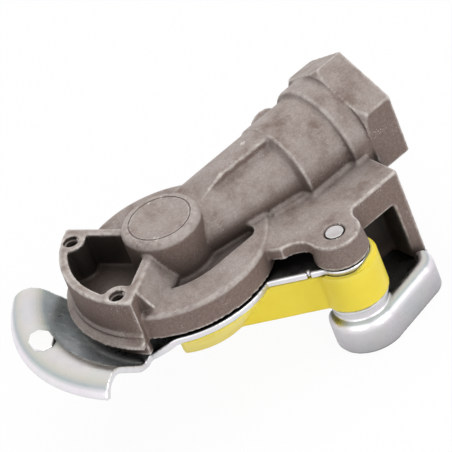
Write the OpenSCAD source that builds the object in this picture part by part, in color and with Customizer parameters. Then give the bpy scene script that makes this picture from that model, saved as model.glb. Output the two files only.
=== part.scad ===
// Palm coupling head for a trailer brake line, with its sprung cover.
// The origin is on the axis of the palm, in the sealing face. +X runs to the air port, +Z is up.
// All sizes are in millimetres.

/* [Palm] */
// Radius of the palm disc
palm_r = 26.6; // [25:0.1:29]
// Thickness of the palm disc
palm_h = 7.6; // [7:0.1:9]
// Radius of the rounded upper edge of the palm
palm_edge = 1.2; // [0.6:0.1:2]
// Radius of the hollow round the boss
moat_r = 16.2; // [15:0.1:17.5]
// Wall between the floor of that hollow and the seal groove
moat_wall = 2.2; // [1.5:0.1:3]
// Radius of the boss on top of the palm
boss_r = 11; // [10:0.1:12.5]
// Height of the boss above the sealing face
boss_h = 18.1; // [17:0.1:20]
// Radius of the rounded rim of the boss
boss_edge = 2; // [0.8:0.1:2.2]
// Radius of the ring line on top of the boss
boss_ring_r = 8.2; // [6.5:0.1:8.8]
// Depth of the shallow dish inside that line
boss_dish = 0.4; // [0.1:0.05:0.8]
// Distance by which the hollow runs on along the neck, past the boss
slot_past = 5.8; // [3:0.1:7]
// Thickness of the roof over the air chamber
chamber_roof = 5; // [3.5:0.1:7]

/* [Seal] */
// Outer radius of the sealing ring
seal_r = 15.8; // [14:0.1:17]
// Radial width of the sealing ring
seal_w = 6.2; // [4.5:0.1:7]
// Depth of the seal groove
seal_depth = 2.6; // [2:0.1:3.2]
// Height by which the seal stands out of the face
seal_proud = 0.9; // [0.4:0.1:1.4]
// Wall between the seal groove and the air chamber
chamber_wall = 2; // [1.5:0.1:3]

/* [Nose] */
// Distance by which the nose stands out past the palm
nose_proud = 2.2; // [1.5:0.1:3.5]
// Height of the nose above the sealing face
nose_h = 14.6; // [13:0.1:16]
// Wall thickness round the nose pocket
nose_wall = 2.4; // [1.8:0.1:3.2]
// Direction of the middle of the nose, in degrees
nose_dir = 164.5; // [155:0.5:170]
// Half of the angle that the nose covers
nose_half = 46.5; // [42:0.5:50]
// Height of the pocket floor above the sealing face
pocket_floor = 4; // [3.2:0.1:6]
// Radius of the two tapped holes, M5 core
screw_r = 2.1; // [1.6:0.1:2.6]
// Wall round a tapped hole
screw_wall = 1.9; // [1.5:0.1:2.4]
// Depth of a tapped hole
screw_depth = 9; // [6:0.5:10]
// Half of the angle between the two tapped holes
screw_half = 35.5; // [33:0.5:37]
// Distance of a tapped hole from the wall of the pocket
screw_inset = 0.5; // [0.2:0.1:1]
// Distance by which the lower flange of the nose stands out
flange_w = 2.6; // [1.5:0.1:3.2]
// Depth of the guide foot below the sealing face
foot_depth = 4.2; // [3:0.1:4.6]
// Width of the guide foot
foot_w = 5.6; // [4:0.1:7]

/* [Port] */
// Sideways offset of the port axis from the palm axis
port_y = -4.8; // [-6:0.1:-3]
// Height of the port axis above the sealing face
port_z = 8.6; // [8:0.1:10]
// Distance from the palm axis to the end of the port
port_x = 65.2; // [62:0.2:72]
// Size of the hexagon across its flats
hex_af = 32; // [30:0.5:34]
// Length of the hexagon
hex_len = 9.9; // [8:0.1:12]
// Length of the collar behind the hexagon
collar_len = 6.6; // [5:0.1:8]
// Radius of the collar
collar_r = 15.6; // [14.6:0.1:15.8]
// Radius of the barrel
barrel_r = 14; // [13:0.1:14.4]
// Length of the barrel
barrel_len = 15.2; // [12:0.2:18]
// Radius of the neck at the barrel
neck_r = 11.2; // [10.6:0.1:12.2]
// Radius of the neck at the palm axis
neck_start_r = 8; // [7:0.1:9]
// Sideways offset of the neck at the palm axis
neck_y = -0.5; // [-1.5:0.1:0]
// Radius of the rib of the neck at the palm axis
rib_start_r = 10.6; // [9.8:0.1:11.4]
// Width of the ledge where the neck meets the bracket
ledge_w = 1.5; // [0.8:0.1:2]
// Core radius of the port thread, M22 x 1.5
port_bore_r = 10.2; // [9:0.1:11]
// Depth of the port thread
port_depth = 15; // [12:0.5:17]
// Radius of the air passage
passage_r = 4.6; // [3.5:0.1:5]
// Radius of the round pad on the far side of the barrel
pad_r = 5.2; // [4:0.1:6]
// Distance by which that pad stands out
pad_proud = 1.3; // [0.5:0.1:2]
// Height of the middle of that pad above the port axis
pad_lift = 2.4; // [0:0.1:4]
// Distance from the collar to the middle of that pad
pad_back = 4.2; // [3:0.1:7]

/* [Bracket] */
// Place of the cover pin along X
pin_x = 27.4; // [26.5:0.1:28.5]
// Place of the cover pin along Y
pin_y = -34.9; // [-36:0.1:-34]
// Height of the upper face of the ear and of the bracket
bracket_top = 6.5; // [6:0.1:7.2]
// Thickness of the bracket plate
bracket_t = 3.6; // [3:0.1:5]
// Radius of the ear at its top
ear_r = 6.9; // [6.2:0.1:7.6]
// Widening of the ear towards its foot
ear_draft = 0.7; // [0:0.1:1.2]
// Distance from the pin to the outer end of the arm
arm_reach = 25.4; // [24:0.2:28]
// Thickness of the arm along X
arm_t = 4.6; // [4:0.1:5.6]
// Width of the arm along Y
arm_w = 10.4; // [8:0.2:11]
// Distance from the pin to the near face of the bracket, towards the palm
bracket_back = 2.6; // [1.5:0.1:4]
// Depth of the front wall of the bracket
front_h = 8.6; // [7.5:0.1:11]
// Thickness of the front wall of the bracket
front_t = 3; // [2.2:0.1:4]
// Thickness of the stop wall behind the mouth of the claw
stop_t = 2.6; // [2:0.1:3.5]
// Distance of the stop wall inside the far face of the arm
stop_inset = 0.3; // [0.2:0.1:1]

/* [Cover] */
// Thickness of the cover plate
plate_t = 2; // [1.5:0.1:2.5]
// Radius of the cover plate round the pin
plate_hub_r = 7.3; // [6.8:0.1:7.8]
// Distance of the edge of the plate inside the edge of the palm
plate_inset = 0.2; // [0:0.1:0.8]
// Width of the slit in the near edge of the plate
slit_w = 0.8; // [0.5:0.1:1.5]
// Depth of that slit
slit_depth = 1.2; // [0.6:0.1:2]
// Radius round the pin at which the plate bends down
bend_r = 49; // [47.5:0.1:50]
// Length of the slope of the plate, seen from above
slope_len = 9.5; // [8:0.1:10.5]
// Depth of the trough below the flat of the plate
trough_depth = 6; // [5.5:0.1:7]
// Inner radius of the two bends of the slope
bend_round = 4; // [2:0.2:6]
// Inner radius of the bend at the foot of the lip
lip_round = 7; // [4:0.2:9]
// Outer radius of the rolled lip section
roll_r = 6.5; // [5:0.1:7.5]
// Height of the crest of the lip above the sealing face
crest_z = 2.2; // [1:0.1:3]
// Free space between the nose flange and the foot of the lip
lip_foot_gap = 2.7; // [2:0.1:4]
// Distance from the foot of the lip to the middle of its roll
roll_offset = 12.9; // [11:0.1:14]
// Direction of the far end of the lip, in degrees
lip_start = 131; // [128:0.5:136]
// Angle that the lip covers
lip_sweep = 73; // [60:0.5:76]
// Angle above level at which the rolled edge ends
lip_edge = 20; // [0:1:40]
// Radius of the cap round the pin
hub_r = 8.8; // [8.2:0.1:9.4]
// Height of the cap round the pin
hub_h = 11; // [9:0.1:12]
// Depth of the saucer of the cap
saucer_h = 11.8; // [9:0.1:12]
// Radius of the floor of the saucer
saucer_floor_r = 16; // [13:0.1:18]
// Wall thickness of the cap
cap_wall = 1.8; // [1.4:0.1:2.2]
// Distance that the cap keeps from the bend of the plate
cap_keep = 1.4; // [1:0.1:2.5]
// Half width of the cover arm at the pin
arm_half_pin = 5.4; // [4.5:0.1:6.5]
// Half width of the cover arm at the palm
arm_half_palm = 11.2; // [9:0.1:13]

/* [Pin] */
// Radius of the cover pin
pin_r = 2.5; // [2:0.1:2.8]
// Wall of the spacer bush
bush_wall = 1.5; // [1.1:0.1:1.8]
// Radius of the rivet head under the claw
pin_head_r = 4.6; // [3.8:0.1:5.2]
// Height of that rivet head
pin_head_h = 1.5; // [1:0.1:2]
// Thickness of the washer under the hub
washer_t = 1.1; // [0.8:0.1:1.6]
// Radius of the washer
washer_r = 8.2; // [7:0.1:8.4]
// Wire radius of the cover spring
wire_r = 0.6; // [0.4:0.05:0.7]
// Turns of the cover spring
spring_turns = 5; // [3:1:6]
// Depth of the countersink at the upper end of the pin
pin_sink = 0.8; // [0.4:0.1:1]

/* [Claw] */
// Thickness of the claw sheet
claw_t = 2; // [1.5:0.1:2.4]
// Outer radius of the claw round the pin
claw_r = 9.8; // [9.4:0.1:10.6]
// Radius of the boss of the claw
claw_boss_r = 7.6; // [7:0.1:7.9]
// Height of the boss of the claw above its floor
claw_boss_h = 5.4; // [4.8:0.1:6]
// Width of the rounded rim
rim_w = 4.4; // [4:0.1:5]
// Radius of the outer shoulder of the rim
rim_shoulder = 3.2; // [2.2:0.1:3.4]
// Height of the rim above the floor of the claw
rim_h = 3.2; // [2.6:0.1:3.8]
// Depth of the skirt below the crest of the rim
skirt_h = 10; // [8:0.2:12]
// Angle between the near edge of the claw and X
claw_slant = 12; // [6:0.5:16]
// Outer radius of the rounded end of the claw
claw_end_r = 7; // [6:0.1:8]
// Distance of the end of the claw inside the outer face of the arm
claw_inset = 1.4; // [0.5:0.1:3]
// Radius of the rivet that holds the claw to the arm
rivet_r = 1.3; // [1:0.1:1.5]
// Length of that rivet inside the arm
rivet_grip = 7.6; // [5:0.2:9]

/* [Clearances] */
// Gap between the seal and the cover plate
seal_gap = 0.3; // [0.2:0.05:0.6]
// Gap between the ear and the cover plate
ear_gap = 0.5; // [0.3:0.05:0.8]
// Gap between the hub and the washer
hub_gap = 0.3; // [0.2:0.05:0.6]
// Radial running clearance of the hub on its bush
run_fit = 0.05; // [0.02:0.01:0.1]
// Radial clearance of pieces that pass freely over the bush
free_fit = 0.4; // [0.3:0.05:0.6]
// Gap between the guide foot and the slope of the plate
foot_gap = 0.5; // [0.3:0.05:0.8]
// Gap between the stop wall and the floor of the claw
stop_gap = 0.5; // [0.3:0.05:0.8]

/* [Hidden] */
$fn = 96;
eps = 0.01;
past = 1;

// Heights, from the sealing face down
plate_top = -(seal_proud + seal_gap);
plate_low = plate_top - plate_t;
ear_low = plate_top + ear_gap;
hub_low = plate_low - hub_h;
washer_low = hub_low - hub_gap - washer_t;
claw_top = washer_low;
claw_floor = claw_top - claw_boss_h;
rim_top = claw_floor + rim_h;
skirt_low = rim_top - skirt_h;
trough_z = plate_top - trough_depth;
moat_floor = seal_depth + moat_wall;
slot_end = boss_r + slot_past;

// Radii that follow from the driving sizes
nose_r = palm_r + nose_proud;
pocket_r = nose_r - nose_wall;
screw_at = pocket_r - screw_inset;
post_r = screw_r + screw_wall;
flange_r = nose_r + flange_w;
hex_r = hex_af / sqrt(3);
bush_r = pin_r + bush_wall;
plate_r = palm_r - plate_inset;
cap_reach = bend_r - cap_keep;
lip_foot = flange_r - lip_foot_gap;
roll_x = lip_foot + roll_offset;
roll_z = crest_z - roll_r;

// Places along the port and the bracket
hex_x = port_x - hex_len;
collar_x = hex_x - collar_len;
barrel_x = collar_x - barrel_len;
neck_turn = atan2(port_y - neck_y, barrel_x);
neck_run = norm([barrel_x, port_y - neck_y]);
arm_x = pin_x + arm_reach - arm_t;
arm_end = pin_x + arm_reach;
front_y = pin_y + bracket_back;
front_x = pin_x + plate_hub_r + ear_gap;
arm_far = front_y + arm_w;
pin_dir = atan2(pin_y, pin_x);
pin_dist = norm([pin_x, pin_y]);
rivet_at = [arm_x + arm_t / 2, front_y + arm_w / 2];
claw_end_x = arm_end - claw_end_r - claw_inset;
claw_start = 140;

// Tangent from the foot of the lip to its roll
lip_gap = [roll_offset, roll_z - trough_z];
lip_rise = atan2(lip_gap[1], lip_gap[0]) + asin(roll_r / norm(lip_gap));
lip_top = 90 + lip_rise;
lip_bend = [lip_foot - lip_round * tan(lip_rise / 2), trough_z + lip_round];

// Length of the straight side of the claw, and the middle of its rounded end
claw_run = (claw_end_x - pin_x) / cos(claw_slant) - (claw_r - claw_end_r) * tan(claw_slant);
claw_end = [claw_end_x, pin_y + claw_run * sin(claw_slant) - (claw_r - claw_end_r) * cos(claw_slant)];

// Wedge of the plane between two directions, out to a radius
module wedge(from, to, reach) {
    middle = (from + to) / 2;
    polygon([
        [0, 0],
        reach * [cos(from), sin(from)],
        2 * reach * [cos(middle), sin(middle)],
        reach * [cos(to), sin(to)]
    ]);
}

// Points of an arc round a middle, from one direction to another
function arc(middle, r, from, to, steps = 8) =
    [for (i = [0 : steps]) let (a = from + (to - from) * i / steps) middle + r * [cos(a), sin(a)]];

// Half section of a disc with a rounded upper edge
module rounded_half(r, h, edge) {
    square([r, h - edge]);
    square([r - edge, h]);
    translate([r - edge, h - edge])
        circle(edge);
}

// Round bar or bore along the port axis
module along_port(from, to, r) {
    translate([from, port_y, port_z])
        rotate([0, 90, 0])
            cylinder(r = r, h = to - from);
}

module at_pin(z) {
    translate([pin_x, pin_y, z])
        children();
}

// Outline of the hollow round the boss, which runs on along the neck to a rounded end
module moat_plan() {
    corner = 2.4;
    circle(moat_r);
    translate([0, -moat_r])
        square([slot_end - corner, moat_r]);
    translate([0, corner - moat_r])
        square([slot_end, moat_r - corner]);
    translate([slot_end - corner, corner - moat_r])
        circle(corner);
}

module palm() {
    difference() {
        rotate_extrude()
            intersection() {
                rounded_half(palm_r, palm_h, palm_edge);
                square([palm_r, palm_h]);
            }
        translate([0, 0, moat_floor])
            linear_extrude(palm_h)
                moat_plan();
    }
}

module boss() {
    line_w = 0.5;
    rotate_extrude()
        difference() {
            intersection() {
                rounded_half(boss_r, boss_h, boss_edge);
                square([boss_r, boss_h]);
            }
            translate([boss_ring_r, boss_h - line_w])
                square([line_w, 2 * line_w]);
            polygon([
                [0, boss_h - boss_dish],
                [boss_ring_r - line_w, boss_h],
                [boss_ring_r - line_w, boss_h + past],
                [0, boss_h + past]
            ]);
        }
}

// Outline of the pocket, seen from above, a wall inside the nose
module pocket_plan() {
    intersection() {
        circle(pocket_r);
        translate(nose_wall / sin(nose_half) * [cos(nose_dir), sin(nose_dir)])
            wedge(nose_dir - nose_half, nose_dir + nose_half, 3 * nose_r);
    }
}

module screw_places() {
    for (side = [-1, 1])
        rotate(nose_dir + side * screw_half)
            translate([screw_at, 0])
                children();
}

// Half section of the nose: block, bead and lower flange
module nose_section() {
    bead = 0.7;
    bead_z = 3;
    sink = 0.1;
    edge = 0.6;
    square([nose_r, nose_h]);
    translate([nose_r - sink, bead_z])
        circle(bead);
    polygon([
        [pocket_r, 0],
        [flange_r - edge, 0],
        [flange_r, edge],
        [flange_r - edge, 2 * edge],
        [nose_r, bead_z - bead],
        [pocket_r, bead_z]
    ]);
}

// Sloping web between the near wall of the nose and the palm
module nose_web() {
    web_w = 5;
    step = 0.3;
    rotate(nose_dir + nose_half)
        translate([boss_r - past, 0, 0])
            rotate([90, 0, 90])
                linear_extrude(palm_r - boss_r - palm_edge)
                    polygon([
                        [-nose_wall / 2, moat_floor - moat_wall / 2],
                        [-nose_wall / 2, nose_h - step],
                        [step, nose_h - step],
                        [web_w, palm_h - palm_edge],
                        [web_w, moat_floor - moat_wall / 2]
                    ]);
}

module nose_foot() {
    keep_off = bend_r + slope_len * (foot_depth + foot_gap + plate_top) / trough_depth;
    foot_sweep = 20;
    difference() {
        rotate(nose_dir + nose_half - foot_sweep - past)
            rotate_extrude(angle = foot_sweep)
                translate([nose_r - foot_w, -foot_depth])
                    square([foot_w - nose_wall / 4, foot_depth + pocket_floor / 2]);
        at_pin(-2 * foot_depth)
            cylinder(r = keep_off, h = 2 * foot_depth);
    }
}

// Palm and nose, with the pocket sunk into both
module palm_and_nose() {
    difference() {
        union() {
            palm();
            rotate(nose_dir - nose_half)
                rotate_extrude(angle = 2 * nose_half)
                    nose_section();
        }
        translate([0, 0, pocket_floor])
            linear_extrude(nose_h)
                difference() {
                    pocket_plan();
                    screw_places()
                        circle(post_r);
                }
    }
    nose_web();
    nose_foot();
}

module port_barrel() {
    groove = 0.5;
    step = 1.2;
    translate([0, port_y, port_z])
        rotate([0, 90, 0])
            rotate_extrude()
                polygon([
                    [0, barrel_x],
                    [neck_r, barrel_x],
                    [barrel_r, barrel_x + step],
                    [barrel_r, collar_x - groove],
                    [barrel_r - groove, collar_x],
                    [collar_r - groove, collar_x + groove],
                    [collar_r, collar_x + 2 * groove],
                    [collar_r, hex_x + past],
                    [0, hex_x + past]
                ]);
}

// Cone along the neck, which runs at a slant from the palm axis into the barrel
module neck_cone(from, to) {
    lap = 3;
    rotate([0, 90, 0])
        cylinder(r1 = from, r2 = to, h = neck_run + lap);
}

// Tapered neck, its ledge on the bracket and the rib on its upper far side
module neck_taper() {
    near = 2.4;
    inset = 0.2;
    ledge_h = 0.5;
    translate([0, neck_y, port_z])
        rotate(neck_turn) {
            neck_cone(neck_start_r, neck_r);
            intersection() {
                neck_cone(rib_start_r, barrel_r - inset);
                translate([0, -near, 0])
                    cube([neck_run + past, 2 * barrel_r, barrel_r]);
            }
            intersection() {
                neck_cone(neck_start_r + ledge_w, neck_r + ledge_w);
                translate([palm_r - palm_edge, -2 * barrel_r, bracket_top - port_z - past])
                    cube([neck_run - palm_r + 2 * palm_edge, 2 * barrel_r, past + ledge_h]);
            }
        }
}

// Space over the boss, which the neck and its rib slope down to
module boss_space() {
    gap = 0.3;
    slope = 2.2;
    rise = port_z + barrel_r - boss_h + boss_edge;
    translate([0, 0, boss_h - boss_edge / 2])
        cylinder(r1 = boss_r + gap, r2 = boss_r + gap + slope * rise, h = rise);
}

module side_pad() {
    translate([collar_x - pad_back, port_y, port_z + pad_lift])
        rotate([-90, 0, 0])
            cylinder(r = pad_r, h = barrel_r + pad_proud);
}

module hexagon() {
    chamfer = 1.6;
    intersection() {
        translate([hex_x, port_y, port_z])
            rotate([0, 90, 0])
                cylinder(r = hex_r, h = hex_len, $fn = 6);
        translate([hex_x, port_y, port_z])
            rotate([0, 90, 0])
                rotate_extrude()
                    polygon([
                        [0, 0],
                        [hex_r - chamfer, 0],
                        [hex_r + eps, chamfer],
                        [hex_r + eps, hex_len],
                        [0, hex_len]
                    ]);
    }
}

module neck() {
    difference() {
        union() {
            port_barrel();
            neck_taper();
            side_pad();
        }
        boss_space();
        translate([-past, port_y - barrel_r, -2 * barrel_r])
            cube([barrel_x, 2 * barrel_r, 2 * barrel_r]);
    }
    hexagon();
}

// Outline of the bracket plate, with a concave run from the palm to the ear
module bracket_plan() {
    hollow_r = 6;
    hollow_lift = 2;
    corner = 2;
    difference() {
        polygon([
            [slot_end + past, port_y],
            [slot_end + past, -moat_r - past],
            [boss_r, hollow_r - palm_r],
            [pin_x - ear_r, pin_y],
            [pin_x + ear_r, pin_y],
            [pin_x + ear_r + corner, front_y],
            [arm_end, front_y],
            [arm_end, port_y]
        ]);
        translate([pin_x - ear_r - hollow_r, pin_y + hollow_lift])
            circle(hollow_r);
    }
}

module bracket() {
    translate([0, 0, bracket_top - bracket_t])
        linear_extrude(bracket_t)
            bracket_plan();
    translate([front_x, front_y, bracket_top - front_h])
        cube([arm_end - front_x, front_t, front_h]);
    translate([arm_x, front_y, claw_floor])
        cube([arm_t, arm_w, bracket_top - claw_floor]);
    at_pin(ear_low)
        cylinder(r1 = ear_r + ear_draft, r2 = ear_r, h = bracket_top - ear_low);
    stop_wall();
}

// Wall behind the mouth of the claw, from the bracket plate down, which ends the way in
module stop_wall() {
    low = claw_floor + stop_gap;
    translate([pin_x + hub_r, arm_far - stop_inset - stop_t, low])
        cube([arm_x + arm_t / 2 - pin_x - hub_r, stop_t, bracket_top - bracket_t / 2 - low]);
}

module body_cuts() {
    seal_in = seal_r - seal_w;
    rivet_play = 0.4;
    along_port(port_x - port_depth, port_x + past, port_bore_r);
    along_port(0, port_x, passage_r);
    translate([0, 0, -past])
        cylinder(r = seal_in - chamber_wall, h = boss_h - chamber_roof + past);
    translate([0, 0, -past])
        difference() {
            cylinder(r = seal_r, h = seal_depth + past);
            cylinder(r = seal_in, h = seal_depth + past);
        }
    translate([0, 0, nose_h - screw_depth])
        linear_extrude(screw_depth + past)
            screw_places()
                circle(screw_r);
    at_pin(ear_low - past) {
        cylinder(r = pin_r, h = bracket_top - ear_low + 2 * past);
        translate([0, 0, bracket_top - ear_low + past - pin_sink])
            cylinder(r1 = pin_r, r2 = pin_r + pin_sink, h = pin_sink + eps);
    }
    translate([rivet_at[0], rivet_at[1], claw_floor - past])
        cylinder(r = rivet_r, h = rivet_grip + rivet_play + past);
}

module body() {
    color([0.56, 0.52, 0.5])
        difference() {
            union() {
                palm_and_nose();
                boss();
                neck();
                bracket();
            }
            body_cuts();
        }
}

module seal_ring() {
    color([0.1, 0.1, 0.1])
        translate([0, 0, -seal_proud])
            difference() {
                cylinder(r = seal_r, h = seal_depth + seal_proud);
                translate([0, 0, -past])
                    cylinder(r = seal_r - seal_w, h = seal_depth + seal_proud + 2 * past);
            }
}

// Outline of the cover from the palm to the pin
module cover_plan(palm_side, pin_side, round_r) {
    circle(round_r);
    rotate(pin_dir)
        polygon([
            [0, -palm_side],
            [pin_dist, -pin_side],
            [pin_dist, pin_side],
            [0, palm_side]
        ]);
}

// Half section of the plate round the pin: flat, slope and trough
module plate_section() {
    reach = pin_dist + roll_x;
    fall = atan(trough_depth / slope_len);
    wide = bend_round + plate_t;
    upper = [bend_r - wide * tan(fall / 2), plate_top - wide];
    lower = [bend_r + slope_len + bend_round * tan(fall / 2), trough_z + bend_round];
    polygon(concat(
        [[bush_r + free_fit, plate_top]],
        arc(upper, wide, 90, 90 - fall),
        arc(lower, bend_round, 270 - fall, 270),
        [[reach, trough_z], [reach, trough_z - plate_t]],
        arc(lower, wide, 270, 270 - fall),
        arc(upper, bend_round, 90 - fall, 90),
        [[bush_r + free_fit, plate_low]]
    ));
}

// Half section of the lip round the palm axis: rising wall and rolled edge
module lip_section() {
    steps = 18;
    lead = 10;
    run_in = 1.2;
    along = [cos(lead), sin(lead)];
    middle = [roll_x, roll_z];
    over = arc(lip_bend, lip_round, 270 + lead, 270 + lip_rise);
    under = arc(lip_bend, lip_round + plate_t, 270 + lip_rise, 270 + lead);
    polygon(concat(
        [over[0] - run_in * along],
        over,
        arc(middle, roll_r, lip_top, lip_edge, steps),
        arc(middle, roll_r - plate_t, lip_edge, lip_top, steps),
        under,
        [under[len(under) - 1] - run_in / 2 * along]
    ));
}

// Outline of the plate, seen from above
module plate_plan() {
    side = 1.6;
    lip_lap = 1.4;
    difference() {
        union() {
            cover_plan(arm_half_palm, arm_half_pin, plate_r);
            translate([pin_x, pin_y])
                circle(plate_hub_r);
            intersection() {
                circle(lip_bend[0] + lip_lap);
                wedge(lip_start - side, lip_start + lip_sweep + side, 3 * lip_foot);
            }
        }
        plate_slit();
    }
}

// Slit in the near edge of the plate, close to the pin
module plate_slit() {
    share = 0.81;
    edge = arm_half_palm + share * (arm_half_pin - arm_half_palm);
    rotate(pin_dir)
        translate([share * pin_dist - slit_w / 2, -arm_half_palm])
            square([slit_w, arm_half_palm - edge + slit_depth]);
}

module cover_plate() {
    color([0.78, 0.79, 0.8]) {
        intersection() {
            at_pin(0)
                rotate_extrude()
                    plate_section();
            translate([0, 0, trough_z - 2 * plate_t])
                linear_extrude(trough_depth + 4 * plate_t)
                    plate_plan();
        }
        rotate(lip_start)
            rotate_extrude(angle = lip_sweep)
                lip_section();
    }
}

// Solid of the cap with its walls moved in by an inset
module cap_form(inset) {
    saucer_low = plate_low - saucer_h;
    intersection() {
        union() {
            translate([0, 0, saucer_low + inset])
                cylinder(r1 = saucer_floor_r - inset, r2 = plate_r - inset, h = saucer_h - inset);
            translate([0, 0, hub_low + inset])
                linear_extrude(hub_h - inset) {
                    cover_plan(arm_half_palm - inset, arm_half_pin - inset, saucer_floor_r - inset);
                    translate([pin_x, pin_y])
                        circle(hub_r - inset);
                }
        }
        at_pin(2 * saucer_low)
            cylinder(r = cap_reach - inset, h = -4 * saucer_low);
    }
}

module cover_cap() {
    color([0.93, 0.85, 0.28])
        difference() {
            cap_form(0);
            cap_form(cap_wall);
            at_pin(hub_low - past)
                cylinder(r = bush_r + run_fit, h = hub_h);
        }
}

module pivot_pin() {
    sheet_low = claw_top - claw_t;
    under = 0.2;
    head_draft = 0.6;
    color([0.82, 0.83, 0.84])
        at_pin(0) {
            translate([0, 0, sheet_low])
                cylinder(r = pin_r, h = bracket_top - under - sheet_low);
            translate([0, 0, sheet_low - pin_head_h])
                cylinder(r1 = pin_head_r - head_draft, r2 = pin_head_r, h = pin_head_h);
        }
}

module pin_bush() {
    color([0.6, 0.61, 0.63])
        at_pin(washer_low)
            difference() {
                cylinder(r = bush_r, h = ear_low - washer_low);
                translate([0, 0, -past])
                    cylinder(r = pin_r, h = ear_low - washer_low + 2 * past);
            }
}

// Coil of round wire, as a tube swept along a helix
module coil(mean_r, wire, low, high, turns) {
    steps = 16 * turns;
    sides = 8;
    points = [
        for (i = [0 : steps])
            for (k = [0 : sides - 1])
                let (
                    turn = 360 * turns * i / steps,
                    around = 360 * k / sides,
                    r = mean_r + wire * cos(around)
                )
                    [r * cos(turn), r * sin(turn), low + (high - low) * i / steps + wire * sin(around)]
    ];
    skin = [
        for (i = [0 : steps - 1])
            for (k = [0 : sides - 1])
                let (next = (k + 1) % sides)
                    [i * sides + k, i * sides + next, (i + 1) * sides + next, (i + 1) * sides + k]
    ];
    first = [for (k = [sides - 1 : -1 : 0]) k];
    last = [for (k = [0 : sides - 1]) steps * sides + k];
    polyhedron(points, concat(skin, [first], [last]));
}

module cover_spring() {
    mean_r = (bush_r + hub_r - cap_wall) / 2;
    seat = 0.05;
    low = hub_low + cap_wall + wire_r + seat;
    high = plate_low - wire_r - seat;
    color([0.4, 0.41, 0.43])
        at_pin(0)
            coil(mean_r, wire_r, low, high, spring_turns);
}

module pin_washer() {
    color([0.8, 0.81, 0.83])
        at_pin(washer_low)
            difference() {
                cylinder(r = washer_r, h = washer_t);
                translate([0, 0, -past])
                    cylinder(r = bush_r, h = washer_t + 2 * past);
            }
}

// Section of the claw rim and skirt, with its outer face at a given radius and its faces moved in
module claw_section(outer, inset) {
    inner = outer - rim_w;
    rim_in = rim_w - rim_shoulder;
    low = claw_floor - claw_t / 2;
    polygon(concat(
        arc([outer - rim_shoulder, rim_top - rim_shoulder], rim_shoulder - inset, 0, 90),
        arc([inner + rim_in, rim_top - rim_in], rim_in - inset, 90, 180),
        [
            [inner + inset, low],
            [outer - claw_t + inset, low],
            [outer - claw_t + inset, skirt_low + inset],
            [outer - inset, skirt_low + inset]
        ]
    ));
}

// Upright wall of the claw: round the pin, straight along the near side, round the end
module claw_wall() {
    seam = 0.05;
    lap = 0.4;
    at_pin(0) {
        rotate(claw_start)
            rotate_extrude(angle = 270 + claw_slant - claw_start)
                claw_section(claw_r, 0);
        rotate(claw_slant)
            translate([-lap, 0, 0])
                rotate([90, 0, 90])
                    linear_extrude(claw_run + 2 * lap)
                        mirror([1, 0])
                            claw_section(claw_r, seam);
    }
    translate([claw_end[0], claw_end[1], 0])
        rotate(claw_slant - 90)
            rotate_extrude(angle = 90 - claw_slant)
                claw_section(claw_end_r, 0);
}

// Floor of the claw, which runs on under the end of the arm
module claw_floor_plan() {
    step = 10;
    turn = 270 + claw_slant;
    pin_side = [
        for (a = [claw_start : step : turn])
            [pin_x, pin_y] + (claw_r - claw_t / 2) * [cos(a), sin(a)]
    ];
    end_side = [
        for (a = [turn : step : 360])
            claw_end + (claw_end_r - claw_t / 2) * [cos(a), sin(a)]
    ];
    arm_side = [[arm_end, front_y], [arm_end, arm_far], [arm_x - claw_t, arm_far]];
    polygon(concat(pin_side, end_side, arm_side));
}

module claw() {
    color([0.76, 0.77, 0.78])
        difference() {
            union() {
                claw_wall();
                translate([0, 0, claw_floor - claw_t])
                    linear_extrude(claw_t)
                        claw_floor_plan();
                at_pin(claw_floor - claw_t / 3)
                    cylinder(r = claw_boss_r, h = claw_boss_h + claw_t / 3);
            }
            at_pin(skirt_low - past)
                cylinder(r = claw_boss_r - claw_t, h = claw_top - claw_t - skirt_low + past);
            at_pin(claw_floor)
                cylinder(r = pin_r, h = claw_boss_h + past);
            translate([rivet_at[0], rivet_at[1], skirt_low])
                cylinder(r = rivet_r, h = claw_floor - skirt_low + past);
        }
}

module claw_rivet() {
    head_h = 1.2;
    color([0.82, 0.83, 0.84])
        translate([rivet_at[0], rivet_at[1], claw_floor - claw_t]) {
            cylinder(r = rivet_r, h = claw_t + rivet_grip);
            translate([0, 0, -head_h])
                cylinder(r1 = 1.6 * rivet_r, r2 = 2 * rivet_r, h = head_h);
        }
}

body();
seal_ring();
cover_plate();
cover_cap();
pivot_pin();
pin_bush();
cover_spring();
pin_washer();
claw();
claw_rivet();
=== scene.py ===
"""Looks of a palm coupling head: a cast body, its sprung cover, its claw and its pin.

The frame is in metres: the sealing face of the palm is z = 0 and the air port opens along +X.
"""

from __future__ import annotations

import logging
import math
from abc import ABC, abstractmethod
from dataclasses import dataclass, field
from enum import Enum
from typing import Any, Sequence

import bpy
from mathutils import Matrix, Vector

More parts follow.
